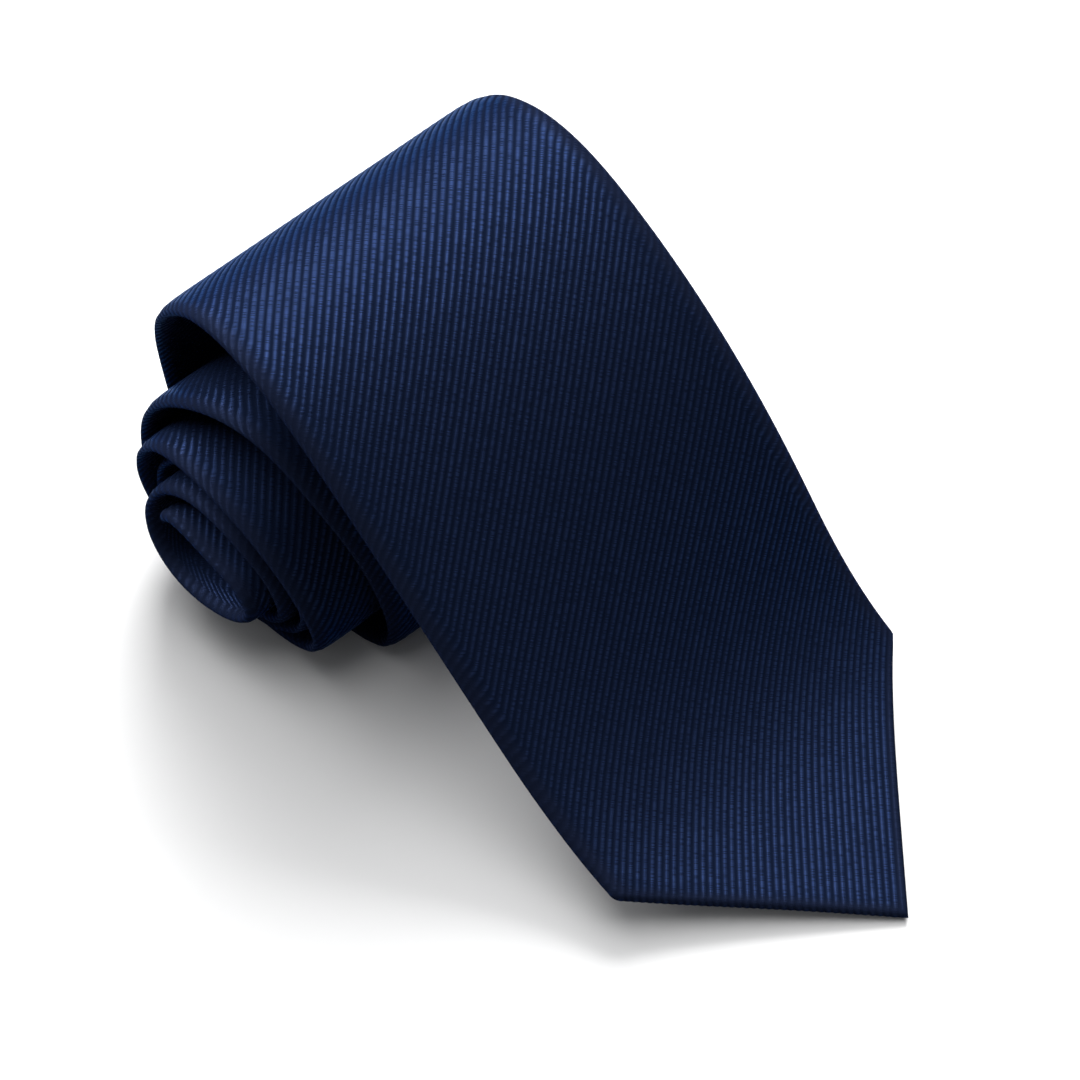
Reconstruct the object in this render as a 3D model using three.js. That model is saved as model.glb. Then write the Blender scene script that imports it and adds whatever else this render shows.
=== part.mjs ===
// A necktie rolled up from its tail and laid on its side, in millimetres, +Z up.
// The roll's axis is X. The wide blade leaves the top of the roll and runs down towards -Y, where its
// point lies on the table. The origin is on the table, at the centre of the whole tie's box.
//
// One map, place(u, v, n), carries the flat tie into the roll:
//   u  across the tie from its centre line, towards +X,
//   v  along the tie from the level where the blade's point begins, towards the tail,
//   n  through the tie from the middle of its thickness, towards the face that shows when it is worn.
import * as THREE from "three";

// ---- driving dimensions ----
const HOME = [-8.93, 45.55, 0]; // the origin, in the frame of the route below
const POINT = 40; // the blade's point is this long, so its sides run at 45 degrees
const CLOTH = 0.4; // thickness of the outer cloth
const GAP = 0.3; // free space between layers
const LINING = 0.3; // thickness of the tipping at the back of each point
const HALF_THICK = [ // half thickness of the sewn tie, at distances v
  [-40, 1.0], [0, 1.4], [60, 1.5], [400, 1.5], [560, 1.35], [842, 1.3], [874, 1.0]];
const WIDTH = [ // width of the tie, at distances v
  [0, 80], [120, 76.5], [260, 69], [420, 55], [580, 43], [700, 39], [874, 38.5]];
const THREAD = 0.2; // half the width of a thread
const TIP = 1.2; // the cloth ends this far from each mathematical point
const INSET = 2.6; // the inner layers stop this far inside the tie's edge
const SEAM_GAP = 0.5; // half the gap between two panels, where the seam's thread lies
const BLADE_SEAM = 560; // where the blade's panel is joined to the neck's
const TAIL_SEAM = 740; // where the neck's panel is joined to the tail's
const BLADE_TACK = 46; // bar tack that closes the back seam above the blade's point
const TAIL_TACK = 830; // the same at the tail
const HEM = 7; // cloth turned to the back along the sides of each point
const KEEPER = 146; // centre of the keeper loop on the back of the blade
const LABEL = 104; // centre of the blank label on the back of the blade

// The left edge of the tie, from beside the blade's point to the tail: x, y, z of the middle of its
// thickness. It is laid out by hand, one line of points for each turn of the roll.
const ROUTE = [
  [-36.5, -42, 4.2], [-37.5, -22.5, 6.5], [-39, -3.5, 11], [-40.5, 14, 21], [-41.5, 29, 34],
  [-42.5, 43, 48], [-43.5, 57, 62], [-44.5, 72, 76], [-45, 88, 86],
  [-45, 105, 86], [-44.5, 118, 73], [-42, 124.5, 54], [-39.5, 127, 32], [-38.5, 123, 10],
  [-38, 108, 1.2], [-36, 84, 1.2], [-35, 71, 6], [-35.5, 67, 19], [-38, 70.5, 38], [-42, 77, 54],
  [-46, 90, 66], [-49, 106, 62], [-50, 118.5, 48], [-50, 123.4, 30], [-49.5, 120, 12],
  [-49, 108, 5.2], [-48.5, 88, 6], [-48.5, 76.5, 12], [-49.5, 72, 23], [-51, 76.5, 36],
  [-52.5, 85, 45.5], [-53.5, 97, 50], [-54, 110, 48], [-54, 118.5, 37], [-53, 119.5, 23],
  [-51.5, 112.5, 11], [-51, 100, 9], [-50, 87, 10.5], [-49, 79, 16.5], [-49, 76, 26],
  [-49, 82, 37.5], [-49.5, 95, 46], [-50.5, 107, 44], [-51.5, 115.4, 34], [-51.5, 115.7, 22],
  [-51, 108, 13.4], [-51, 96, 12.6], [-51, 85.5, 15.5], [-51, 80.3, 23], [-51.5, 82.7, 32],
  [-53, 89, 39.3], [-54, 98.5, 42.1], [-55.5, 107, 39.5], [-57.2, 111.7, 32],
  [-58.3, 111.3, 23.5], [-58.6, 105, 17], [-58.2, 95, 16.5], [-57, 87, 19.5],
  [-56.2, 83.6, 24.5], [-56.2, 86, 29.5], [-56.6, 93, 32.2], [-57, 101.5, 34], [-57.2, 106.4, 33],
  [-57.2, 107.6, 29.6], [-57.2, 104, 26.6], [-57.4, 98, 24.8], [-57.4, 91, 23.4]];

// How the line across the blade leans away from the X axis: v, then its y and z.
const LEAN = [
  [-40, 0.09, -0.07], [0, 0.09, -0.01], [40, 0, 0.08], [80, -0.03, 0.135],
  [120, 0, 0.07], [160, 0, 0], [200, 0, 0]];
const FLOOR = 1.5; // the middle of the cloth comes no lower, so the roll's bottom is flat

// ---- curves ----
// Natural cubic spline through rows of values at the given knots.
function spline(knots, rows) {
  const count = knots.length;
  const width = rows[0].length;
  const bend = rows.map((row) => row.map(() => 0));
  const sweep = new Array(count).fill(0);
  for (let i = 1; i < count - 1; i++) {
    const before = knots[i] - knots[i - 1];
    const after = knots[i + 1] - knots[i];
    const pivot = 2 * (before + after) - before * sweep[i - 1];
    sweep[i] = after / pivot;
    for (let k = 0; k < width; k++) {
      const kink = (rows[i + 1][k] - rows[i][k]) / after - (rows[i][k] - rows[i - 1][k]) / before;
      bend[i][k] = (6 * kink - before * bend[i - 1][k]) / pivot;
    }
  }
  for (let i = count - 2; i > 0; i--)
    for (let k = 0; k < width; k++) bend[i][k] -= sweep[i] * bend[i + 1][k];
  return (t) => {
    let i = 0;
    while (i < count - 2 && t > knots[i + 1]) i++;
    const span = knots[i + 1] - knots[i];
    const b = (t - knots[i]) / span;
    const a = 1 - b;
    return rows[i].map((value, k) => a * value + b * rows[i + 1][k] +
      ((a ** 3 - a) * bend[i][k] + (b ** 3 - b) * bend[i + 1][k]) * span ** 2 / 6);
  };
}

// Straight-line interpolation in rows of [v, value], held at both ends.
function between(rows, v) {
  let i = 0;
  while (i < rows.length - 2 && v > rows[i + 1][0]) i++;
  const part = (v - rows[i][0]) / (rows[i + 1][0] - rows[i][0]);
  return THREE.MathUtils.lerp(rows[i][1], rows[i + 1][1], THREE.MathUtils.clamp(part, 0, 1));
}

// ---- the edge, by its true length ----
const knots = [0];
for (let i = 1; i < ROUTE.length; i++) {
  const chord = Math.hypot(...ROUTE[i].map((value, k) => value - ROUTE[i - 1][k]));
  knots.push(knots[i - 1] + Math.sqrt(chord));
}
const route = spline(knots, ROUTE);
const SAMPLES = 6000;
const samples = [route(0)];
const reached = [-POINT];
for (let i = 1; i <= SAMPLES; i++) {
  samples.push(route(knots.at(-1) * i / SAMPLES));
  reached.push(reached[i - 1] + Math.hypot(...samples[i].map((value, k) => value - samples[i - 1][k])));
}
const END = reached.at(-1); // v of the tail's very point
const lean = spline(LEAN.map((row) => row[0]), LEAN.map((row) => row.slice(1)));

function edgePoint(v) {
  let low = 0;
  let high = SAMPLES;
  while (high - low > 1) {
    const middle = (low + high) >> 1;
    if (reached[middle] > v) high = middle;
    else low = middle;
  }
  const part = (v - reached[low]) / (reached[high] - reached[low]);
  return samples[low].map((value, k) => value + part * (samples[high][k] - value));
}

// ---- the flat tie ----
const fullWidth = (v) => between(WIDTH, v);
const halfWidth = (v) => Math.min(fullWidth(v) / 2, POINT + v, END - v); // cut at 45 degrees at both ends
const halfThick = (v) => between(HALF_THICK, v);

// Half the opening between the two back flaps: closed along the seam, open in a V at each point.
function flapOpening(v) {
  const seam = 0.9;
  const toBlade = BLADE_TACK - v;
  const toTail = v - TAIL_TACK;
  const vee = Math.max(toBlade * 0.72, toTail * 0.72, 0);
  return Math.max(Math.min(seam + vee, halfWidth(v) - HEM), Math.min(seam, halfWidth(v) / 3));
}

// ---- from the flat tie into the roll ----
function middle(u, v) {
  const [x, y, z] = edgePoint(v);
  const [leanY, leanZ] = lean(Math.min(v, LEAN.at(-1)[0]));
  const across = new THREE.Vector3(1, leanY, leanZ).normalize();
  const point = new THREE.Vector3(x - HOME[0], y - HOME[1], Math.max(z, v > 0 ? FLOOR : 0) - HOME[2]);
  return point.addScaledVector(across, u + fullWidth(v) / 2);
}

const STEP = 0.5;
function place(u, v, n) {
  const early = Math.max(v - STEP, -POINT);
  const late = Math.min(v + STEP, END);
  const along = middle(u, late).sub(middle(u, early));
  const across = middle(u + STEP, v).sub(middle(u - STEP, v));
  return middle(u, v).addScaledVector(across.cross(along).normalize(), n);
}

// ---- stations along the tie: close together where it bends ----
const TURN = THREE.MathUtils.degToRad(16);
const LONGEST = 6;
function heading(v) {
  const a = edgePoint(v - STEP);
  const b = edgePoint(v + STEP);
  return Math.atan2(b[2] - a[2], b[1] - a[1]);
}
const corners = [0, END - fullWidth(END) / 2]; // where each point begins
const grid = [-POINT + 1];
let turned = 0;
for (let v = grid[0] + 1; v < END - 1; v++) {
  const change = heading(v) - heading(v - 1);
  turned += Math.abs(Math.atan2(Math.sin(change), Math.cos(change)));
  const corner = corners.find((at) => Math.abs(at - v) <= 0.5);
  if (corner === undefined && turned < TURN && v - grid.at(-1) < LONGEST) continue;
  grid.push(corner ?? v);
  turned = 0;
}
// Every layer shares these stations, so their facets stay parallel.
const stations = (from, to) => [from, ...grid.filter((v) => v > from + 1 && v < to - 1), to];

// ---- solids ----
// A closed solid through a ring of [u, n] points at each station, with flat ends.
function loft(vs, ring) {
  const rings = vs.map((v) => ring(v).map(([u, n]) => place(u, v, n)));
  const size = rings[0].length;
  const flat = ring(vs[0]).map(([u, n]) => new THREE.Vector2(u, n));
  const index = [];
  for (let j = 0; j + 1 < rings.length; j++)
    for (let i = 0; i < size; i++) {
      const a = j * size + i;
      const b = j * size + (i + 1) % size;
      // Both faces of a layer are split along the same diagonal, so that a twist leaves them parallel.
      if (flat[i].x < flat[(i + 1) % size].x) index.push(a, b, a + size, b, b + size, a + size);
      else index.push(a, b, b + size, a, b + size, a + size);
    }
  const cap = THREE.ShapeUtils.triangulateShape(flat, []);
  const turn = (points) => Math.sign(THREE.ShapeUtils.area(points));
  if (turn(cap[0].map((i) => flat[i])) !== turn(flat)) cap.forEach((triangle) => triangle.reverse());
  const last = (rings.length - 1) * size;
  cap.forEach(([a, b, c]) => index.push(c, b, a, last + a, last + b, last + c));
  return solid(rings.flat(), index);
}

function solid(points, index) {
  const geometry = new THREE.BufferGeometry().setFromPoints(points);
  if (volume(points, index) < 0) index.reverse(); // so that the faces look outwards
  geometry.setIndex(index);
  geometry.computeVertexNormals();
  return geometry;
}

function volume(points, index) {
  let sum = 0;
  for (let i = 0; i < index.length; i += 3)
    sum += points[index[i]].dot(points[index[i + 1]].clone().cross(points[index[i + 2]]));
  return sum;
}

// Cloth folded round both edges, its two flaps meeting at the middle of the back.
function shellRing(v, outside = halfThick(v), inside = outside - CLOTH) {
  const thick = halfThick(v);
  const open = flapOpening(v);
  const wall = (radius) => {
    const centre = Math.max(halfWidth(v) - thick, open + 0.2);
    const arc = [270, 210, 150, 90].map(THREE.MathUtils.degToRad);
    const left = arc.map((angle) => [-centre + radius * Math.cos(angle), radius * Math.sin(angle)]);
    const right = left.map(([u, n]) => [-u, n]).reverse();
    return [[-open, -radius], ...left, [0, radius], ...right, [open, -radius]];
  };
  return [...wall(outside), ...wall(inside).reverse()];
}

// A flat layer between two heights, set in from the tie's edge.
function layerRing(inset, top, bottom) {
  return (v) => {
    const half = Math.max(halfWidth(v) - inset, 0.6);
    const us = [-half, 0, half];
    return [...us.map((u) => [u, bottom(v)]), ...us.reverse().map((u) => [u, top(v)])];
  };
}
const liningTop = (v) => -(halfThick(v) - CLOTH - GAP) + LINING;
const liningBottom = (v) => liningTop(v) - LINING;
const interliningTop = (v) => halfThick(v) - CLOTH - GAP;
const interliningBottom = (v) => liningTop(v) + GAP;

// A patch of cloth, or a bar of thread, lying on the back of the tie. sag is how far its middle hangs.
function backPatch({ from, to, left, right, above, thick, sag = 0 }) {
  const columns = Math.max(2, Math.ceil((right - left) / 9));
  const us = Array.from({ length: columns + 1 }, (_, i) => left + (right - left) * i / columns);
  const ring = (v) => {
    const face = (u) => -halfThick(v) - above - sag * (1 - ((2 * u - left - right) / (right - left)) ** 2);
    const back = us.map((u) => [u, face(u) - thick]);
    return [...back, ...us.map((u) => [u, face(u)]).reverse()];
  };
  return loft(stations(from, to), ring);
}

// Thread laid along the tie, its centre at across(v), in the thickness of the back flaps.
function threadAlong(from, to, across) {
  const ring = (v) => {
    const centre = across(v);
    const depth = -halfThick(v) + CLOTH / 2;
    return [[centre - THREAD, depth - THREAD], [centre + THREAD, depth - THREAD], [centre, depth + THREAD]];
  };
  return loft(stations(from, to), ring);
}

// Thread in a seam that goes right round the tie, in the thickness of the cloth.
function threadAround(v) {
  const ring = () => shellRing(v, halfThick(v) - 0.05, halfThick(v) - CLOTH + 0.05);
  return loft([v - THREAD, v + THREAD], ring);
}

// ---- colours ----
const cloth = new THREE.MeshStandardMaterial({ color: 0x18233f, roughness: 0.62, metalness: 0 });
const clothNeck = new THREE.MeshStandardMaterial({ color: 0x1b2848, roughness: 0.62, metalness: 0 });
const clothTail = new THREE.MeshStandardMaterial({ color: 0x202f52, roughness: 0.62, metalness: 0 });
const satin = new THREE.MeshStandardMaterial({ color: 0x0e1628, roughness: 0.4, metalness: 0 });
const wool = new THREE.MeshStandardMaterial({ color: 0xd8d2c4, roughness: 0.95, metalness: 0 });
const thread = new THREE.MeshStandardMaterial({ color: 0x0c1424, roughness: 0.7, metalness: 0 });
const tape = new THREE.MeshStandardMaterial({ color: 0x2c3550, roughness: 0.5, metalness: 0 });

// ---- the tie ----
const tie = new THREE.Group();
function add(name, geometry, material) {
  const mesh = new THREE.Mesh(geometry, material);
  mesh.name = name;
  tie.add(mesh);
}

add("blade_shell", loft(stations(-POINT + TIP, BLADE_SEAM - SEAM_GAP), (v) => shellRing(v)), cloth);
add("neck_shell", loft(stations(BLADE_SEAM + SEAM_GAP, TAIL_SEAM - SEAM_GAP), (v) => shellRing(v)), clothNeck);
add("tail_shell", loft(stations(TAIL_SEAM + SEAM_GAP, END - TIP), (v) => shellRing(v)), clothTail);
add("blade_seam_thread", threadAround(BLADE_SEAM), thread);
add("tail_seam_thread", threadAround(TAIL_SEAM), thread);

const layer = (from, to, top, bottom) => loft(stations(from, to), layerRing(INSET, top, bottom));
add("interlining", layer(-POINT + INSET, END - INSET, interliningTop, interliningBottom), wool);
add("blade_tipping", layer(-POINT + INSET, BLADE_TACK + 44, liningTop, liningBottom), satin);
add("tail_tipping", layer(TAIL_TACK - 26, END - INSET, liningTop, liningBottom), satin);

add("slip_stitch", threadAlong(BLADE_TACK + 3, TAIL_TACK - 3, (v) => 0.3 * Math.sin(v / 3)), thread);
for (const [side, name] of [[-1, "left"], [1, "right"]]) {
  const beside = (v) => side * (flapOpening(v) - GAP - THREAD);
  add("blade_tipping_stitch_" + name, threadAlong(-POINT + 12, BLADE_TACK - 3, beside), thread);
  add("tail_tipping_stitch_" + name, threadAlong(TAIL_TACK + 3, END - 12, beside), thread);
}

const tack = (v, half) =>
  backPatch({ from: v - 0.7, to: v + 0.7, left: -half, right: half, above: GAP, thick: 0.4 });
add("blade_bar_tack", tack(BLADE_TACK, 4), thread);
add("tail_bar_tack", tack(TAIL_TACK, 3), thread);

// The keeper loop and the label lie across the back seam, and each is sewn down at both ends.
function sewnPatch(name, centre, width, half, thick, sag, material) {
  const from = centre - width / 2;
  const to = centre + width / 2;
  add(name, backPatch({ from, to, left: -half, right: half, above: GAP, thick, sag }), material);
  for (const [side, word] of [[-1, "left"], [1, "right"]]) {
    const ends = [side * (half + GAP), side * (half + GAP + 0.9)].sort((a, b) => a - b);
    const bar = { from, to, left: ends[0], right: ends[1], above: GAP, thick: 0.35 };
    add(name + "_stitch_" + word, backPatch(bar), thread);
  }
}
sewnPatch("keeper_loop", KEEPER, 10, 24, 0.5, 1.2, cloth);
sewnPatch("blank_label", LABEL, 14, 12, 0.3, 0, tape);

export default tie;
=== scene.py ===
"""A dark navy necktie of ribbed cloth, rolled up from its tail, its wide blade running down to the table.

Lengths are in millimetres until place() turns them into metres. One map, place(u, v, n), carries the flat
tie into the roll, as in the part's own source:
  u  across the tie from its centre line, towards +X,
  v  along the tie from the level where the blade's point begins, towards the tail,
  n  through the tie from the middle of its thickness, towards the face that shows when it is worn.
"""
import math

import bmesh
import bpy
import numpy as np
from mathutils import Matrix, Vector


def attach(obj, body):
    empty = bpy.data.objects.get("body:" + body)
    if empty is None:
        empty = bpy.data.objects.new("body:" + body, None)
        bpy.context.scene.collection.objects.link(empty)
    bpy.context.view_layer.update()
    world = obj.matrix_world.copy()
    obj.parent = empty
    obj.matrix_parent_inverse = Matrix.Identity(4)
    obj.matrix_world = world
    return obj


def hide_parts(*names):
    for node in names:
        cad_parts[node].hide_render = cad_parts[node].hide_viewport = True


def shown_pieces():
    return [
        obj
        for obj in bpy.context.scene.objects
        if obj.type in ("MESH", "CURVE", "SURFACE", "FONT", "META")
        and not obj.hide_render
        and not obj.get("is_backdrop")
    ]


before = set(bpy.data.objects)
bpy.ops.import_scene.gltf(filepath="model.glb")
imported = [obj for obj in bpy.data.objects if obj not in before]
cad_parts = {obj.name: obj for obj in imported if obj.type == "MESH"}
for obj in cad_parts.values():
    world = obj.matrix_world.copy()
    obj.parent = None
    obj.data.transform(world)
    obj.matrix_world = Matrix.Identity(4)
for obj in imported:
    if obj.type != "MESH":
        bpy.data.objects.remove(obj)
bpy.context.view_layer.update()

MM = 0.001

# ---- the flat tie, as in the part's source ----
HOME = (-8.93, 45.55, 0.0)  # the origin, in the frame of the route below
POINT = 40.0  # the blade's point is this long, so its sides run at 45 degrees
CLOTH = 0.4  # thickness of the outer cloth
GAP = 0.3  # free space between layers
LINING = 0.3  # thickness of the tipping
HALF_THICK = [(-40, 1.0), (0, 1.4), (60, 1.5), (400, 1.5), (560, 1.35), (842, 1.3), (874, 1.0)]
WIDTH = [(0, 80), (120, 76.5), (260, 69), (420, 55), (580, 43), (700, 39), (874, 38.5)]
BLADE_SEAM = 560.0  # where the blade's panel is joined to the neck's, on the centre line
TAIL_SEAM = 740.0  # where the neck's panel is joined to the tail's
BLADE_TACK = 46.0  # bar tack that closes the back seam above the blade's point
TAIL_TACK = 830.0  # the same at the tail
BLADE_LINED = 44.0  # the tipping runs this far under the closed seam at the blade
TAIL_LINED = 26.0  # and at the tail
HEM = 7.0  # cloth turned to the back along the sides of each point
KEEPER = 146.0  # centre of the keeper loop on the back of the blade
LABEL = 104.0  # centre of the blank label

# The left edge of the tie, one line of points for each turn of the roll.
ROUTE = [
    (-36.5, -42, 4.2), (-37.5, -22.5, 6.5), (-39, -3.5, 11), (-40.5, 14, 21), (-41.5, 29, 34),
    (-42.5, 43, 48), (-43.5, 57, 62), (-44.5, 72, 76), (-45, 88, 86),
    (-45, 105, 86), (-44.5, 118, 73), (-42, 124.5, 54), (-39.5, 127, 32), (-38.5, 123, 10),
    (-38, 108, 1.2), (-36, 84, 1.2), (-35, 71, 6), (-35.5, 67, 19), (-38, 70.5, 38), (-42, 77, 54),
    (-46, 90, 66), (-49, 106, 62), (-50, 118.5, 48), (-50, 123.4, 30), (-49.5, 120, 12),
    (-49, 108, 5.2), (-48.5, 88, 6), (-48.5, 76.5, 12), (-49.5, 72, 23), (-51, 76.5, 36),
    (-52.5, 85, 45.5), (-53.5, 97, 50), (-54, 110, 48), (-54, 118.5, 37), (-53, 119.5, 23),
    (-51.5, 112.5, 11), (-51, 100, 9), (-50, 87, 10.5), (-49, 79, 16.5), (-49, 76, 26),
    (-49, 82, 37.5), (-49.5, 95, 46), (-50.5, 107, 44), (-51.5, 115.4, 34), (-51.5, 115.7, 22),
    (-51, 108, 13.4), (-51, 96, 12.6), (-51, 85.5, 15.5), (-51, 80.3, 23), (-51.5, 82.7, 32),
    (-53, 89, 39.3), (-54, 98.5, 42.1), (-55.5, 107, 39.5), (-57.2, 111.7, 32),
    (-58.3, 111.3, 23.5), (-58.6, 105, 17), (-58.2, 95, 16.5), (-57, 87, 19.5),
    (-56.2, 83.6, 24.5), (-56.2, 86, 29.5), (-56.6, 93, 32.2), (-57, 101.5, 34), (-57.2, 106.4, 33),
    (-57.2, 107.6, 29.6), (-57.2, 104, 26.6), (-57.4, 98, 24.8), (-57.4, 91, 23.4)]

# How the line across the blade leans away from the X axis: v, then its y and z.
LEAN = [
    (-40, 0.09, -0.07), (0, 0.09, -0.01), (40, 0, 0.08), (80, -0.03, 0.135),
    (120, 0, 0.07), (160, 0, 0), (200, 0, 0)]
FLOOR = 1.5  # the middle of the cloth comes no lower
TABLE = 0.02  # and no part of it lower than this

# ---- the cloth ----
RIB = 1.43 * math.sqrt(2)  # distance between two ribs, measured along or across the tie
RELIEF = 0.16  # height of a rib above the valleys beside it
ROUNDNESS = 0.8  # a lower power makes a rib rounder and the valleys narrower
FOLD_RIBS = 0.12  # the part of the relief that is left on the soft folds at the sides
POINT_RIBS = 0.6  # and on the pressed edges at a point
FLAP_RIBS = 0.6  # and on the back flaps
SIDE_FADE = 3.0  # the ribs sink over this distance before the soft folds
CORNER_FADE = 4.0  # which begins over this distance above the point's corners
RIB_STEPS = 6  # mesh columns for each rib where it shows
HIDDEN_STEPS = 4  # and inside the roll
SHOWN_TO = 262.0  # the outer turn ends at this v
CREST = 1.6  # a higher power makes the bright line along a rib narrower
YARN = 0.2  # from one yarn to the next, along a rib
EDGE_PRESSED = 1.15  # how far the cloth takes to turn round an edge at a point
EDGE_SOFT = 4.2  # and along the sides, where the fold is soft
TAIL_SOFT = 2.6  # the same at the tail
SOFT_FROM = 4.0  # the fold grows soft from this far above the point's corners
SOFT_OVER = 50.0  # and over this distance
NEAR_EDGE = 6.0  # the cloth counts as near the edge within this distance of it
CORNER_SPAN = 1.2  # the point's sloping side gives way to the straight one over this distance
SEAM = 0.15  # half the gap where the back flaps meet
OPENING = 0.72  # how fast the flaps part below the bar tack
FLAP_SLANT = 110.0  # the flaps' mesh follows the ribs from this far above the point's corners
POINT_SLANT = 12.0  # and runs square to the point's sides from this far below them
FRONT_ROWS = 26  # mesh rows across the front
FOLD_ROWS = 6  # round a folded edge
FLAP_ROWS = 7  # and across each flap
INSET = 2.6  # the inner layers stop this far inside the tie's edge
RIM = 0.35  # the edges of the keeper loop and the label are rounded over this distance
RIM_DEPTH = 0.9  # 1 would round them down to nothing
COIL_STEPS = 10  # points for each turn of a wrapped thread
THREAD = 0.14  # radius of a thread
THREAD_SIDES = 6
LAYER_STEP = 2.0  # mesh rows and columns of the inner layers
LAYER_COLUMNS = 17
LAYER_TIP = 0.6  # half the width that an inner layer has left at its point
PATCH_STEP = 0.25  # mesh rows of the loop and the label
WELD = 2e-6  # points closer than this, in metres, are one
HALVINGS = 44  # enough to find a root to the last digit
ROUTE_SAMPLES = 6001  # points at which the route's length is measured
BEYOND = 2000.0  # farther than the tie is long


# ---- curves ----
def spline(knots, rows):
    """Natural cubic spline through rows of values at the given knots, as a function of an array."""
    knots, rows = np.asarray(knots, float), np.asarray(rows, float)
    gap = np.diff(knots)
    system = np.eye(len(knots))
    kinks = np.zeros_like(rows)
    for i in range(1, len(knots) - 1):
        system[i, i - 1:i + 2] = gap[i - 1], 2 * (gap[i - 1] + gap[i]), gap[i]
        kinks[i] = 6 * ((rows[i + 1] - rows[i]) / gap[i] - (rows[i] - rows[i - 1]) / gap[i - 1])
    bend = np.linalg.solve(system, kinks)

    def value(t):
        t = np.asarray(t, float)
        i = np.clip(np.searchsorted(knots, t) - 1, 0, len(gap) - 1)
        b = ((t - knots[i]) / gap[i])[..., None]
        a = 1 - b
        curve = ((a ** 3 - a) * bend[i] + (b ** 3 - b) * bend[i + 1]) * gap[i][..., None] ** 2 / 6
        return a * rows[i] + b * rows[i + 1] + curve
    return value


def table(rows):
    """Straight-line interpolation in rows of (position, value)."""
    at, values = zip(*rows)
    return lambda v: np.interp(v, at, values)


def smooth(x):
    """Rises from 0 to 1 as x does, level at both ends."""
    x = np.clip(x, 0, 1)
    return x * x * (3 - 2 * x)


def root(rising, low, high):
    """Where a rising function of an array crosses zero, by halving."""
    low, high = np.array(low, float), np.array(high, float)
    for _ in range(HALVINGS):
        half = (low + high) / 2
        above = rising(half) > 0
        high = np.where(above, half, high)
        low = np.where(above, low, half)
    return (low + high) / 2


def measure_route():
    """The route as a function of v, and the v of the tail's very point."""
    points = np.array(ROUTE, float)
    chords = np.linalg.norm(np.diff(points, axis=0), axis=1)
    knots = np.concatenate([[0], np.cumsum(np.sqrt(chords))])
    curve = spline(knots, points)
    t = np.linspace(0, knots[-1], ROUTE_SAMPLES)
    steps = np.linalg.norm(np.diff(curve(t), axis=0), axis=1)
    reached = np.concatenate([[0], np.cumsum(steps)]) - POINT
    return lambda v: curve(np.interp(v, reached, t)), reached[-1]


edge_point, END = measure_route()
lean = spline([row[0] for row in LEAN], [row[1:] for row in LEAN])
full_width, half_thick = table(WIDTH), table(HALF_THICK)


def middle(u, v):
    """The middle of the tie's thickness."""
    point = edge_point(v) - np.array(HOME)
    point[..., 2] = np.maximum(point[..., 2], np.where(v > 0, FLOOR, 0))
    leaning = lean(np.minimum(v, LEAN[-1][0]))
    across = np.concatenate([np.ones_like(leaning[..., :1]), leaning], axis=-1)
    across /= np.linalg.norm(across, axis=-1, keepdims=True)
    return point + across * (u + full_width(v) / 2)[..., None]


def place(u, v, n, step=0.5):
    """From the flat tie into the roll, in metres."""
    u, v, n = np.broadcast_arrays(*(np.asarray(x, float) for x in (u, v, n)))
    along = middle(u, np.minimum(v + step, END)) - middle(u, np.maximum(v - step, -POINT))
    across = middle(u + step, v) - middle(u - step, v)
    up = np.cross(across, along)
    up /= np.linalg.norm(up, axis=-1, keepdims=True)
    points = middle(u, v) + up * n[..., None]
    points[..., 2] = np.maximum(points[..., 2], TABLE)  # pressed flat where it lies on the table
    return points * MM


# ---- the two ends of the tie ----
class End:
    """The tie measured from one of its ends: a across it and b along it, from where the point begins."""

    def __init__(self, point, tack, soft, flipped):
        self.point, self.soft, self.flipped = point, soft, flipped
        self.tack = tack if not flipped else self.along(tack)
        self.corner = float(root(self.past_corner, -1.0, 5.0))

    def along(self, b):
        return END - self.point - b if self.flipped else b

    def width(self, b):
        return full_width(self.along(b))

    def thick(self, b):
        return half_thick(self.along(b))

    def put(self, a, b, n):
        return place(-a, self.along(b), n) if self.flipped else place(a, b, n)

    def pressed(self):
        """The pressed edge of the point, measured across the tie."""
        return EDGE_PRESSED * math.sqrt(2)

    def past_corner(self, b):
        """Above 0 where the straight side has begun, and below it along the point."""
        return b - (self.width(b) / 2 - self.radius(b)) + self.point - self.pressed()

    def radius(self, b):
        """How far the cloth takes to turn round the side's edge."""
        return EDGE_PRESSED + (self.soft - EDGE_PRESSED) * smooth((b - SOFT_FROM) / SOFT_OVER)

    def inner(self, b):
        """Half the width inside the folded edges."""
        return np.minimum(self.point + b - self.pressed(), self.width(b) / 2 - self.radius(b))

    def opening(self, b):
        """Half the gap between the back flaps: a V at the point, then closed."""
        half = np.minimum(self.width(b) / 2, self.point + b)
        vee = SEAM + np.maximum(self.tack - b, 0) * OPENING
        return np.clip(np.minimum(vee, half - HEM), SEAM, None)


def rib_height(w):
    """Height of the ribs over the middle of the cloth, from their own coordinate."""
    wave = 0.5 + 0.5 * np.cos(2 * np.pi * w / RIB)
    return RELIEF * (wave ** ROUNDNESS - 0.5)


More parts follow.
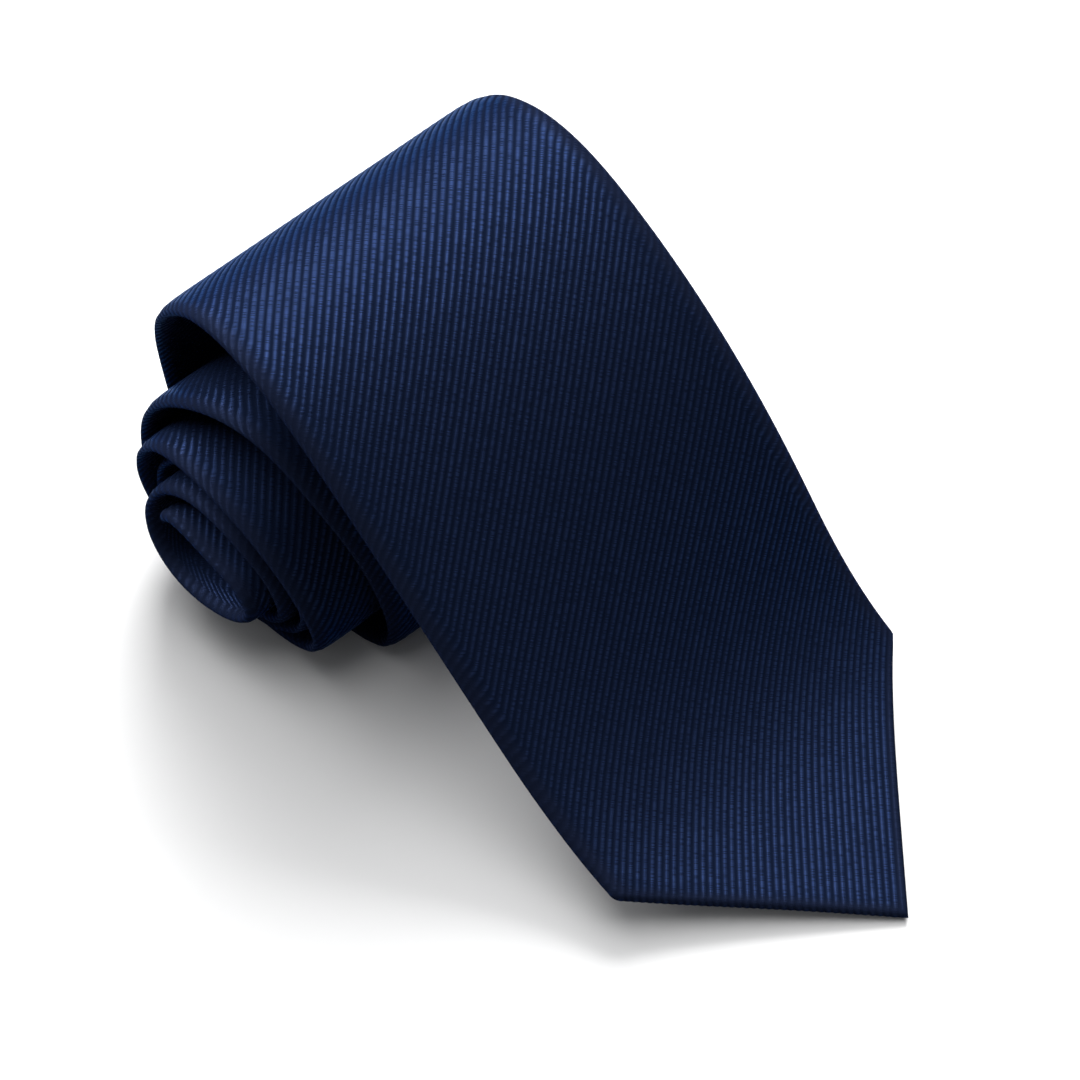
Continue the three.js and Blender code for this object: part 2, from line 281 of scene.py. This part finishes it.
def fold(end, a, b, w, side, shrink=0.0):
    """The cloth from the front's edge at (a, b), round the fold and across the back flap.

    It gives u, v, n, the rib coordinate and the distance along the rib, with one row for each step.
    side is -1 on the left and 1 on the right. shrink moves it inwards, for the cloth's inner face.
    """
    beyond = smooth((b - end.corner) / CORNER_SPAN + 0.5)  # 0 on the point's sloping side, 1 above it
    slant = smooth((b - end.corner) / FLAP_SLANT) - smooth((end.corner - b) / POINT_SLANT)
    radius = end.radius(b)
    diagonal = EDGE_PRESSED / math.sqrt(2)
    out_a = (1 - beyond) * diagonal + beyond * radius
    out_b = -(1 - beyond) * diagonal
    at_tip = np.isclose(a, 0)
    out_a = np.where(at_tip, 0, out_a)
    out_b = np.where(at_tip, -2 * diagonal, out_b)
    reach = np.hypot(out_a, out_b)
    size = 1 - shrink / ((1 - beyond) * EDGE_PRESSED + beyond * radius)
    faded = FOLD_RIBS + (POINT_RIBS - FOLD_RIBS) * (1 - beyond)
    ribs = 0 if shrink else faded * rib_height(w) * smooth((end.point - end.pressed() - w) / RIB)
    thick = end.thick(b) - shrink
    arc = math.pi * np.sqrt((radius ** 2 + thick ** 2) / 2) * beyond
    rows = []
    for step in range(1, FOLD_ROWS + 1):
        angle = math.pi * step / FOLD_ROWS
        part = step / FOLD_ROWS
        s, c = math.sin(angle), math.cos(angle)
        normal = np.hypot(thick * s, reach * c)
        grow = reach * size * s + ribs * thick * s / normal
        row_a = a + side * out_a / reach * grow
        row_b = b + out_b / reach * grow + side * np.maximum(slant, 0) * arc * part
        row_n = thick * c + ribs * reach * c / normal
        rows.append((row_a, row_b, row_n, w + 0 * a, side * (np.abs(a) + arc * part) + row_b))
    start_b = b + side * np.maximum(slant, 0) * arc
    towards = side * slant
    width = root(lambda x: x + end.opening(start_b + towards * x) - np.abs(a), 0 * a, np.abs(a))
    aligned = smooth((np.abs(slant) - 0.9) / 0.1)  # only there can the flap's mesh carry ribs
    for step in range(1, FLAP_ROWS + 1):
        x = width * step / FLAP_ROWS
        row_a = a - side * x
        row_b = start_b + towards * x
        cloth = side * (np.abs(a) + arc + x)
        row_w = np.where(beyond > 0.5, cloth - row_b, w)
        swell = 0 if shrink else FLAP_RIBS * aligned * rib_height(row_w)
        rows.append((row_a, row_b, -end.thick(row_b) + shrink - swell, row_w, cloth + row_b))
    return rows


def front(end, w, left, right, shrink=0.0):
    """Rows across the front from the left start (a, b) to the right one."""
    rows = []
    for step in range(FRONT_ROWS + 1):
        part = step / FRONT_ROWS
        a = left[0] + part * (right[0] - left[0])
        b = a - w
        from_side = 1 - smooth((end.inner(b) - np.abs(a)) / SIDE_FADE)
        from_side = from_side * smooth((b - end.corner) / CORNER_FADE)
        swell = 0 if shrink else rib_height(w) * (1 - (1 - FOLD_RIBS) * from_side)
        rows.append((a, b, end.thick(b) - shrink + swell, w + 0 * a, a + b))
    return rows


def skin(end, w, shrink=0.0):
    """One face of a panel, as an array [row, column, value] from the left flap to the right one."""
    left_b = root(lambda b: b + w + end.inner(b), w * 0 - end.point + end.pressed(), w * 0 + BEYOND)
    right_b = root(lambda b: b + w - end.inner(b), w * 0 + end.corner, w * 0 + BEYOND)
    left, right = (left_b + w, left_b), (right_b + w, right_b)
    rows = fold(end, *left, w, -1, shrink)[::-1]
    rows += front(end, w, left, right, shrink)
    rows += fold(end, *right, w, 1, shrink)
    return np.array([[x + 0 * w for x in row] for row in rows])


def hem_skin(end, shrink=0.0):
    """The cloth folded round the right side of the point, as [row, column, value].

    It has a column for each row of the front.
    """
    top = end.point - end.pressed()
    a = np.linspace(0, 1, FRONT_ROWS + 1) * (end.corner + top)
    b = a - top
    diagonal = EDGE_PRESSED / math.sqrt(2)
    turn = smooth((end.corner - b) / POINT_SLANT)
    thick = end.thick(b) - shrink
    size = EDGE_PRESSED - shrink
    rows = []
    for step in range(1, FOLD_ROWS + 1):
        angle = math.pi * step / FOLD_ROWS
        grow = size * math.sin(angle) / math.sqrt(2)
        out = np.where(np.isclose(a, 0), 0, grow)
        down = np.where(np.isclose(a, 0), 2 * grow, grow)
        rows.append((a + out, b - down, thick * math.cos(angle), top + EDGE_PRESSED * angle + 0 * a, a + b))
    width = root(lambda x: x + end.opening(b + turn * x) - a, 0 * a, a)
    for step in range(1, FLAP_ROWS + 1):
        x = width * step / FLAP_ROWS
        w = top + EDGE_PRESSED * math.pi + 2 * x
        rows.append((a - x, b + turn * x, -end.thick(b + turn * x) + shrink, w, a + b))
    return np.array([[x + 0 * a for x in row] for row in rows])


# ---- meshes ----
class Patchwork:
    """Collects grids of points and joins them into one closed mesh."""

    def __init__(self):
        self.points, self.cloth, self.faces, self.count = [], [], [], 0

    def add(self, points, cloth):
        """Adds an array [row, column, xyz] and gives the numbers of its points."""
        rows, columns = points.shape[:2]
        index = self.count + np.arange(rows * columns).reshape(rows, columns)
        self.points.append(points.reshape(-1, 3))
        self.cloth.append(cloth.reshape(-1, 3))
        self.count += rows * columns
        return index

    def grid(self, index):
        """Quads between the points of a grid."""
        corners = index[:-1, :-1], index[:-1, 1:], index[1:, 1:], index[1:, :-1]
        self.faces += np.stack(corners, axis=-1).reshape(-1, 4).tolist()

    def build(self, name):
        mesh = bpy.data.meshes.new(name)
        mesh.from_pydata(np.concatenate(self.points).tolist(), [], self.faces)
        cloth = mesh.attributes.new("cloth", "FLOAT_VECTOR", "POINT")
        cloth.data.foreach_set("vector", np.concatenate(self.cloth).astype(np.float32).ravel())
        return finish_mesh(name, mesh)


def finish_mesh(name, mesh):
    work = bmesh.new()
    work.from_mesh(mesh)
    bmesh.ops.remove_doubles(work, verts=work.verts, dist=WELD)
    bmesh.ops.dissolve_degenerate(work, edges=work.edges, dist=WELD)
    bmesh.ops.recalc_face_normals(work, faces=work.faces)
    work.to_mesh(mesh)
    work.free()
    mesh.shade_smooth()
    piece = bpy.data.objects.new(name, mesh)
    bpy.context.scene.collection.objects.link(piece)
    return piece


def rib_lines(end, first, last, shown_to):
    """The rib coordinates of a panel's columns, falling, and the coarse ones of its inner face."""
    ws = [first]
    while ws[-1] > last:
        step = RIB / (RIB_STEPS if -ws[-1] < shown_to else HIDDEN_STEPS)
        ws.append(max(ws[-1] - step, last))
    fine = np.array(ws)
    coarse = np.unique(np.r_[np.arange(0, len(fine) - 1, HIDDEN_STEPS), len(fine) - 1])
    return fine, coarse


def panel(name, end, last, first=None, shown_to=0.0):
    """A closed panel of the outer cloth, folded round both edges. With no first it has the end's point."""
    pointed = first is None
    first = end.point - end.pressed() if pointed else first
    fine, coarse = rib_lines(end, first, last, shown_to)
    work = Patchwork()

    def lay(flat):
        return work.add(end.put(flat[:, :, 0], flat[:, :, 1], flat[:, :, 2]), cloth_of(end, flat))

    outer = lay(np.moveaxis(skin(end, fine), 1, 2))
    inner = lay(np.moveaxis(skin(end, fine[coarse], CLOTH), 1, 2))
    work.grid(outer)
    work.grid(inner)
    for row in (0, -1):
        chain(work, outer[row], inner[row], coarse)
    work.grid(np.stack([outer[:, -1], inner[:, -1]]))
    if pointed:
        start = FOLD_ROWS + FLAP_ROWS
        stop = start + FRONT_ROWS
        last_rows = []
        for face, shrink in ((outer, 0.0), (inner, CLOTH)):
            between = lay(np.moveaxis(hem_skin(end, shrink), 1, 2)[:, 1:-1])
            hem = np.column_stack([face[start - 1::-1, 0], between, face[stop + 1:, 0]])
            work.grid(np.vstack([face[start:stop + 1, 0][None], hem]))
            last_rows.append(hem[-1])
        work.grid(np.stack(last_rows))
    else:
        work.grid(np.stack([outer[:, 0], inner[:, 0]]))
    return work.build(name)


def chain(work, fine, coarse, steps):
    """Joins a line of points to a coarser one, whose points stand beside the numbered ones."""
    for i in range(len(coarse) - 1):
        here, there = steps[i], steps[i + 1]
        half = (here + there + 1) // 2
        work.faces += [(fine[j], fine[j + 1], coarse[i]) for j in range(here, half)]
        work.faces.append((fine[half], coarse[i + 1], coarse[i]))
        work.faces += [(fine[j], fine[j + 1], coarse[i + 1]) for j in range(half, there)]


def cloth_of(end, flat):
    """Rib number, distance along the rib and nearness to the edge, for the materials."""
    a, b = flat[:, :, 0], flat[:, :, 1]
    half = np.minimum(end.width(b) / 2, end.point + b)
    near = 1 - np.clip((half - np.abs(a)) / NEAR_EDGE, 0, 1)
    return np.stack([flat[:, :, 3] / RIB, flat[:, :, 4] / math.sqrt(2), near], axis=-1)


def half_width(v):
    """Half the tie's width, cut at 45 degrees at both ends."""
    return np.minimum(np.minimum(full_width(v) / 2, POINT + v), END - v)


def rows_between(start, stop, step):
    return np.linspace(start, stop, math.ceil((stop - start) / step) + 1)[:, None]


def slab(name, u, v, top, bottom):
    """A closed layer over a flat grid of u and v, between two heights n."""
    u, v, top, bottom = np.broadcast_arrays(u, v, top, bottom)
    cloth = np.stack([(u - v) / RIB, (u + v) / math.sqrt(2), 0 * u], axis=-1)
    work = Patchwork()
    faces = [work.add(place(u, v, n), cloth) for n in (top, bottom)]
    for face in faces:
        work.grid(face)
    rims = [np.concatenate([f[0, :-1], f[:-1, -1], f[-1, :0:-1], f[::-1, 0]]) for f in faces]
    work.grid(np.stack(rims))
    return work.build(name)


def layer(name, start, stop, top, bottom):
    """An inner layer of the tie, set in from its edges."""
    v = rows_between(start, stop, LAYER_STEP)
    u = np.maximum(half_width(v) - INSET, LAYER_TIP) * np.linspace(-1, 1, LAYER_COLUMNS)
    return slab(name, u, v, top(v), bottom(v))


def patch(name, centre, width, half, thick, sag, relief):
    """A band of cloth lying across the back seam, with rounded edges. sag is how far its middle hangs."""
    v = rows_between(centre - width / 2, centre + width / 2, PATCH_STEP)
    u = rows_between(-half, half, PATCH_STEP).T
    rim = np.minimum(np.minimum(half - np.abs(u), width / 2 - np.abs(v - centre)) / RIM, 1)
    full = np.sqrt(1 - (1 - rim) ** 2 * RIM_DEPTH)
    middle_n = -half_thick(v) - GAP - thick / 2 - sag * (1 - (u / half) ** 2)
    ribs = relief * rim * np.cos(2 * np.pi * (u - v) / RIB)
    return slab(name, u, v, middle_n + full * thick / 2, middle_n - full * (thick / 2 + ribs))


def thread(name, u, v, n):
    """A thread along points of the flat tie, closed at both ends."""
    return tube(name, place(u, v, n), THREAD)


def tube(name, centre, radius):
    """A thread along points in metres."""
    ahead = np.gradient(centre, axis=0)
    ahead /= np.linalg.norm(ahead, axis=1, keepdims=True)
    across = np.cross(ahead[0], (0.3, 0.5, 0.8))  # no thread starts in this direction
    rings = []
    for point, direction in zip(centre, ahead):
        across = across - direction * across.dot(direction)
        across /= np.linalg.norm(across)
        up = np.cross(direction, across)
        turns = np.arange(THREAD_SIDES)[:, None] * 2 * math.pi / THREAD_SIDES
        rings.append(point + radius * MM * (np.cos(turns) * across + np.sin(turns) * up))
    rings = np.array(rings)
    work = Patchwork()
    length = np.arange(len(centre))[:, None, None] * np.ones((1, THREAD_SIDES, 3))
    index = work.add(rings, length)
    work.grid(np.column_stack([index, index[:, 0]]))
    work.faces += [index[0].tolist(), index[-1].tolist()]
    return work.build(name)


def coil(name, axis_u, axis_v, wide_u, wide_v, lift, height, turns):
    """A thread wrapped round a line on the back of the tie, as in a bar tack or a whipped edge."""
    turn = np.linspace(0, 1, turns * COIL_STEPS + 1)
    phase = 2 * np.pi * turns * turn
    u = axis_u[0] + turn * (axis_u[1] - axis_u[0]) + wide_u * np.cos(phase)
    v = axis_v[0] + turn * (axis_v[1] - axis_v[0]) + wide_v * np.cos(phase)
    return thread(name, u, v, -half_thick(v) - lift + height * np.sin(phase))


# ---- materials ----
class Nodes:
    """A short way to write node trees: node(type, inputs, settings) and links by socket."""

    def __init__(self, name):
        self.material = bpy.data.materials.new(name)
        self.material.use_nodes = True
        self.tree = self.material.node_tree
        self.shader = next(n for n in self.tree.nodes if n.type == "BSDF_PRINCIPLED")

    def node(self, kind, inputs=None, **settings):
        made = self.tree.nodes.new("ShaderNode" + kind)
        for key, value in settings.items():
            setattr(made, key, value)
        for key, value in (inputs or {}).items():
            self.feed(made.inputs[key], value)
        return made

    def feed(self, socket, value):
        if isinstance(value, bpy.types.NodeSocket):
            self.tree.links.new(value, socket)
        else:
            socket.default_value = value

    def math(self, operation, *values):
        made = self.tree.nodes.new("ShaderNodeMath")
        made.operation = operation
        for socket, value in zip(made.inputs, values):
            self.feed(socket, value)
        return made.outputs[0]

    def between(self, value, low, high):
        """Carries 0 to 1 over to low to high."""
        return self.math("MULTIPLY_ADD", value, high - low, low)

    def mix(self, part, first, second):
        made = self.tree.nodes.new("ShaderNodeMix")
        made.data_type = "RGBA"
        for socket, value in zip((made.inputs[0], made.inputs[6], made.inputs[7]), (part, first, second)):
            self.feed(socket, value)
        return made.outputs[2]

    def finish(self, colour, roughness, height=None, depth=0.0001, **constants):
        """Sets the shader. Constants go straight onto its sockets."""
        self.feed(self.shader.inputs["Base Color"], colour)
        self.feed(self.shader.inputs["Roughness"], roughness)
        if height is not None:
            bump = self.node("Bump", {"Strength": 1.0, "Distance": depth, "Height": height})
            self.feed(self.shader.inputs["Normal"], bump.outputs[0])
        for key, value in constants.items():
            self.shader.inputs[key.replace("_", " ")].default_value = value
        return self.material


def ribbed_cloth(name, body, edge, glint, rough):
    """Ribbed silk: fine yarns cross each rib. They glint as they pass over its crest, and the rest is dull.

    body is the light that the cloth scatters, and edge the same near a folded edge, lighter and greyer
    there as a painted sheen on the fold. glint is how many times as much a crest mirrors.
    """
    n = Nodes(name)
    coordinate = n.node("Attribute", attribute_name="cloth").outputs["Vector"]
    rib, along, near = n.node("SeparateXYZ", {0: coordinate}).outputs
    wave = n.math("COSINE", n.math("MULTIPLY", rib, 2 * math.pi))
    crest = n.math("POWER", n.math("MULTIPLY_ADD", wave, 0.5, 0.5), CREST)
    number = n.math("ROUND", rib)
    # Each yarn shows on a rib as a short dash, set off by half a yarn from rib to rib.
    yarn = n.math("MULTIPLY_ADD", number, 0.5, n.math("DIVIDE", along, YARN))
    dash = n.math("ABSOLUTE", n.math("SINE", n.math("MULTIPLY", yarn, math.pi)))
    cell = n.node("CombineXYZ", {0: number, 1: n.math("FLOOR", yarn), 2: 0.0})
    chance = n.node("TexWhiteNoise", {"Vector": cell.outputs[0]}, noise_dimensions="3D").outputs["Value"]
    stretched = n.node("CombineXYZ", {0: n.math("MULTIPLY", rib, 0.9),
                                      1: n.math("MULTIPLY", along, 0.16), 2: 0.0})
    cloudy = n.node("TexNoise", {"Vector": stretched.outputs[0], "Scale": 1.0, "Detail": 3.0}).outputs[0]
    lively = n.math("MULTIPLY", crest, n.between(chance, 0.35, 1.15))
    lively = n.math("MULTIPLY", lively, n.between(dash, 0.8, 1.1))
    lively = n.math("MULTIPLY", lively, n.between(cloudy, 0.7, 1.3))
    smoothed = n.node("MapRange", {"Value": near, "From Min": 0.35, "From Max": 0.8},
                      interpolation_type="SMOOTHSTEP").outputs[0]
    lively = n.math("MULTIPLY", lively, n.between(smoothed, 1.0, 0.15))
    # Near a folded edge the colour turns from body to the lighter, greyer edge: painted sheen on the fold.
    # The weaker glint there is the pressed ribs.
    scattered_with_edge_sheen = n.mix(smoothed, body, edge)
    whole = n.math("MULTIPLY_ADD", lively, glint, 1.0)
    colour = n.node("VectorMath", {0: scattered_with_edge_sheen, "Scale": whole}, operation="SCALE").outputs[0]
    n.feed(n.shader.inputs["Metallic"], n.math("SUBTRACT", 1.0, n.math("DIVIDE", 1.0, whole)))
    relief = n.math("ADD", n.math("MULTIPLY", dash, crest), n.math("MULTIPLY", chance, 0.5))
    return n.finish(colour, n.between(chance, rough, rough + 0.1), relief, 0.00003,
                    Specular_IOR_Level=0.0, Specular_Tint=(0.35, 0.5, 0.85, 1))


def plain_weave(name, colour, dark, scale, rough, sheen=0.0, depth=0.00005):
    """A fine plain weave in object space, for linings, tapes and felt."""
    n = Nodes(name)
    at = n.node("TexCoord").outputs["Object"]
    noise = n.node("TexNoise", {"Vector": at, "Scale": scale * 0.35, "Detail": 4.0}).outputs[0]
    weave = n.node("TexWave", {"Vector": at, "Scale": scale, "Distortion": 1.5, "Detail": 1.0}).outputs[1]
    weft = n.node("TexWave", {"Vector": at, "Scale": scale, "Distortion": 1.5},
                  bands_direction="Y").outputs[1]
    crossing = n.math("MULTIPLY", n.math("ADD", weave, weft), 0.5)
    part = n.math("MULTIPLY", crossing, n.between(noise, 0.5, 1.3))
    rough_map = n.between(noise, rough - 0.1, rough + 0.1)
    return n.finish(n.mix(part, dark, colour), rough_map, crossing, depth, Sheen_Weight=sheen)


def twisted_thread(name, colour, dark):
    n = Nodes(name)
    at = n.node("TexCoord").outputs["Object"]
    twist = n.node("TexWave", {"Vector": at, "Scale": 900.0, "Distortion": 2.0},
                   bands_direction="DIAGONAL").outputs[1]
    return n.finish(n.mix(twist, dark, colour), n.between(twist, 0.5, 0.7), twist, 0.00004)


def linear(r, g, b):
    """A colour given as 0 to 255 on a screen, for a shader."""
    values = [x / 255 for x in (r, g, b)]
    return tuple(x / 12.92 if x < 0.04045 else ((x + 0.055) / 1.055) ** 2.4 for x in values) + (1.0,)


# edge is lighter and greyer than body: a painted sheen on the folded edges.
outer_cloth = ribbed_cloth("ribbed silk", body=(0.0019, 0.0034, 0.0094, 1),
                           edge=(0.0029, 0.0044, 0.0108, 1), glint=3.9, rough=0.25)

# ---- the panels ----
blade_end = End(POINT, BLADE_TACK, EDGE_SOFT, flipped=False)
tail_end = End(full_width(END) / 2, TAIL_TACK, TAIL_SOFT, flipped=True)

ROOT = "root"


def dress(piece, material, slot, *nodes):
    piece.data.materials.clear()
    piece.data.materials.append(material)
    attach(piece, ROOT)
    if nodes:
        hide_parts(*nodes)
    return piece


blade = panel("blade_cloth", blade_end, -BLADE_SEAM, shown_to=SHOWN_TO)
neck = panel("neck_cloth", blade_end, -TAIL_SEAM, first=-BLADE_SEAM - GAP)
tail = panel("tail_cloth", tail_end, -tail_end.along(TAIL_SEAM) + GAP)
dress(blade, outer_cloth, "outer_cloth", "blade_shell")
dress(neck, outer_cloth, "outer_cloth", "neck_shell")
dress(tail, outer_cloth, "outer_cloth", "tail_shell")

# ---- the layers inside ----
def lining_top(v):
    return LINING - (half_thick(v) - CLOTH - GAP)


felt = plain_weave("brushed wool", linear(226, 218, 200), linear(190, 180, 160), 900.0, 0.95, 0.3)
satin = plain_weave("navy satin", linear(20, 30, 58), linear(10, 15, 32), 2500.0, 0.35, 0.2)
tape = plain_weave("woven tape", linear(48, 58, 92), linear(26, 33, 58), 1800.0, 0.5, 0.2)
yarn = twisted_thread("navy thread", linear(20, 30, 58), linear(8, 12, 26))

interlining = layer("interlining_felt", -POINT + INSET, END - INSET,
                    lambda v: half_thick(v) - CLOTH - GAP, lambda v: lining_top(v) + GAP)
dress(interlining, felt, "interlining", "interlining")
blade_tipping = layer("blade_tipping_satin", -POINT + INSET, BLADE_TACK + BLADE_LINED,
                      lining_top, lambda v: lining_top(v) - LINING)
dress(blade_tipping, satin, "tipping", "blade_tipping")
tail_tipping = layer("tail_tipping_satin", TAIL_TACK - TAIL_LINED, END - INSET,
                     lining_top, lambda v: lining_top(v) - LINING)
dress(tail_tipping, satin, "tipping", "tail_tipping")

# ---- the keeper loop and the label ----
# The middle of each on the centre line, its width, half its length and its thickness.
KEEPER_BAND = KEEPER, 10.0, 24.0, 0.5
LABEL_BAND = LABEL, 14.0, 12.0, 0.3
WHIP = 0.9  # how far the whipping reaches to each side of a band's end, and from turn to turn
CLEAR = 0.1  # it is centred this far outside the band's end
WHIP_END = 0.3  # and starts and stops this far inside the band's sides
keeper = patch("keeper_loop_band", *KEEPER_BAND, sag=1.2, relief=0.05)
dress(keeper, outer_cloth, "outer_cloth", "keeper_loop")
label = patch("blank_label_tape", *LABEL_BAND, sag=0.0, relief=0.0)
dress(label, tape, "label_tape", "blank_label")
for band, (centre, width, half, thick) in (("keeper_loop", KEEPER_BAND), ("blank_label", LABEL_BAND)):
    for side, word in ((-1, "left"), (1, "right")):
        node = band + "_stitch_" + word
        at = side * (half + CLEAR)
        ends = centre - width / 2 + WHIP_END, centre + width / 2 - WHIP_END
        whip = coil(node + "_thread", (at, at), ends, WHIP, 0.0, GAP + thick / 2, thick / 2 + 0.2,
                    int(width / WHIP))
        dress(whip, yarn, "thread", node)

# ---- the stitches ----
TACK_STEP = 0.34  # from one turn of a bar tack to the next
TACK_REACH = 0.55  # how far its turns reach to each side
SLIP = 12.0  # the slip stitch crosses the back seam and returns once in this length
SLIP_REACH = 0.7  # how far it goes to each side
TACK_CLEAR = 3.0  # no stitch comes nearer than this to a bar tack
PRICK = 3.2  # from one stitch at the edge of a tipping to the next
PRICK_FROM = 12.0  # these start this far above the point's tip
PRICK_IN = 0.35  # and run this far outside the opening between the flaps
SEAM_THREAD = 0.13  # radius of the thread that joins two panels
for node, v, half in (("blade_bar_tack", BLADE_TACK, 4.0), ("tail_bar_tack", TAIL_TACK, 3.0)):
    turns = int(half * 2 / TACK_STEP)
    tack = coil(node + "_thread", (-half, half), (v, v), 0.0, TACK_REACH, GAP + 0.2, 0.06, turns)
    dress(tack, yarn, "thread", node)

v = rows_between(BLADE_TACK + TACK_CLEAR, TAIL_TACK - TACK_CLEAR, 0.4)[:, 0]
crossing = np.cos(2 * np.pi * v / SLIP)
inside = smooth(np.abs(crossing) / 0.3)  # the thread lies within the cloth except where it crosses
slip = thread("slip_stitch_thread", SLIP_REACH * np.tanh(4 * crossing), v,
              -half_thick(v) - 0.1 + 0.3 * inside)
dress(slip, yarn, "thread", "slip_stitch")

for node, end in (("blade_tipping_stitch", blade_end), ("tail_tipping_stitch", tail_end)):
    b = rows_between(PRICK_FROM - end.point, end.tack - TACK_CLEAR, 0.3)[:, 0]
    out = 0.5 + 0.5 * np.cos(2 * np.pi * b / PRICK)
    for side, word in ((-1, "left"), (1, "right")):
        a = side * (end.opening(b) + PRICK_IN)
        if end.flipped:
            a = -a
        points = end.put(a, b, -end.thick(b) + CLOTH / 2 - 0.25 * out)
        prick = tube(node + "_" + word + "_thread", points, THREAD)
        dress(prick, yarn, "thread", node + "_" + word)

for node, w in (("blade_seam_thread", -BLADE_SEAM - GAP / 2), ("tail_seam_thread", -TAIL_SEAM - GAP / 2)):
    line = skin(blade_end, np.array([w]), CLOTH / 2)[:, :, 0]
    points = blade_end.put(line[:, 0], line[:, 1], line[:, 2])
    dress(tube(node + "_line", points, SEAM_THREAD), yarn, "thread", node)

# ---- the stage ----
OVERHEAD = 0.4  # strength of the room's light straight above


def area_light(name, at, aim, size, power):
    data = bpy.data.lights.new(name, "AREA")
    data.shape = "RECTANGLE"
    data.size, data.size_y = size
    data.energy = power
    lamp = bpy.data.objects.new(name, data)
    lamp.location = at
    lamp.rotation_euler = (Vector(aim) - Vector(at)).to_track_quat("-Z", "Y").to_euler()
    bpy.context.scene.collection.objects.link(lamp)
    return lamp


def pale_floor():
    mesh = bpy.data.meshes.new("floor")
    half = 3.0
    corners = [(-half, -half, 0), (half, -half, 0), (half, half, 0), (-half, half, 0)]
    mesh.from_pydata(corners, [], [(0, 1, 2, 3)])
    floor = bpy.data.objects.new("floor", mesh)
    bpy.context.scene.collection.objects.link(floor)
    n = Nodes("white table")
    at = n.node("TexCoord").outputs["Object"]
    grain = n.node("TexNoise", {"Vector": at, "Scale": 40.0, "Detail": 2.0}).outputs[0]
    colour = n.mix(grain, (0.86, 0.86, 0.86, 1), (0.88, 0.88, 0.88, 1))
    mesh.materials.append(n.finish(colour, 0.9))
    floor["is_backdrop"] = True


def camera():
    """A long lens, high over the left front."""
    azimuth, elevation = math.radians(-41.353), math.radians(57.01)
    distance, lens = 0.5777, 99.51
    target = Vector((0.006033, 0.013619, 0.025))
    back = Vector((math.sin(azimuth) * math.cos(elevation),
                   -math.cos(azimuth) * math.cos(elevation), math.sin(elevation)))
    data = bpy.data.cameras.new("camera")
    data.sensor_width, data.lens = 36.0, lens
    data.clip_start, data.clip_end = 0.01, 20.0
    made = bpy.data.objects.new("camera", data)
    made.location = target + back * distance
    made.rotation_euler = back.to_track_quat("Z", "Y").to_euler()
    bpy.context.scene.collection.objects.link(made)
    bpy.context.scene.camera = made


def tie_pieces():
    """The pieces of the tie, so that a light can pass the table by, as when a flag shades it."""
    pieces = bpy.data.collections.new("tie pieces")
    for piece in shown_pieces():
        pieces.objects.link(piece)
    return pieces


def studio():
    """A faint room light, brightest overhead and nearly dark at the horizon."""
    world = bpy.data.worlds.new("studio")
    world.use_nodes = True
    nodes, links = world.node_tree.nodes, world.node_tree.links
    direction = nodes.new("ShaderNodeSeparateXYZ")
    links.new(nodes.new("ShaderNodeTexCoord").outputs["Generated"], direction.inputs[0])
    level = nodes.new("ShaderNodeMapRange")
    links.new(direction.outputs["Z"], level.inputs["Value"])
    level.inputs["From Min"].default_value = 0.3
    level.inputs["To Min"].default_value = 0.03
    level.inputs["To Max"].default_value = OVERHEAD
    background = nodes["Background"]
    background.inputs["Color"].default_value = (0.97, 0.98, 1.0, 1)
    links.new(level.outputs[0], background.inputs["Strength"])
    scene.world = world


scene = bpy.context.scene
pale_floor()
camera()
studio()
scene.view_settings.view_transform = "Standard"

# Each lamp's place, the point it is turned to, its size and its power in watts.
KEY = (0.45, 0.40, 0.75), (0, 0.04, 0.03), (0.5, 0.5), 12.5
TOP = (0.05, 0.1, 1.1), (0, 0.0, 0.0), (0.9, 0.9), 9.0
LEFT_END = (-0.36, 0.59, 0.68), (-0.03, 0.05, 0.05), (0.6, 0.6), 27.0
RIGHT_END = (0.90, -0.10, 0.40), (0, 0, 0.04), (0.6, 0.6), 4.5
area_light("key", *KEY)
area_light("top", *TOP)
tie = tie_pieces()
for name, settings in (("key on the tie", KEY), ("top on the tie", TOP), ("left end", LEFT_END),
                       ("right end", RIGHT_END)):
    area_light(name, *settings).light_linking.receiver_collection = tie
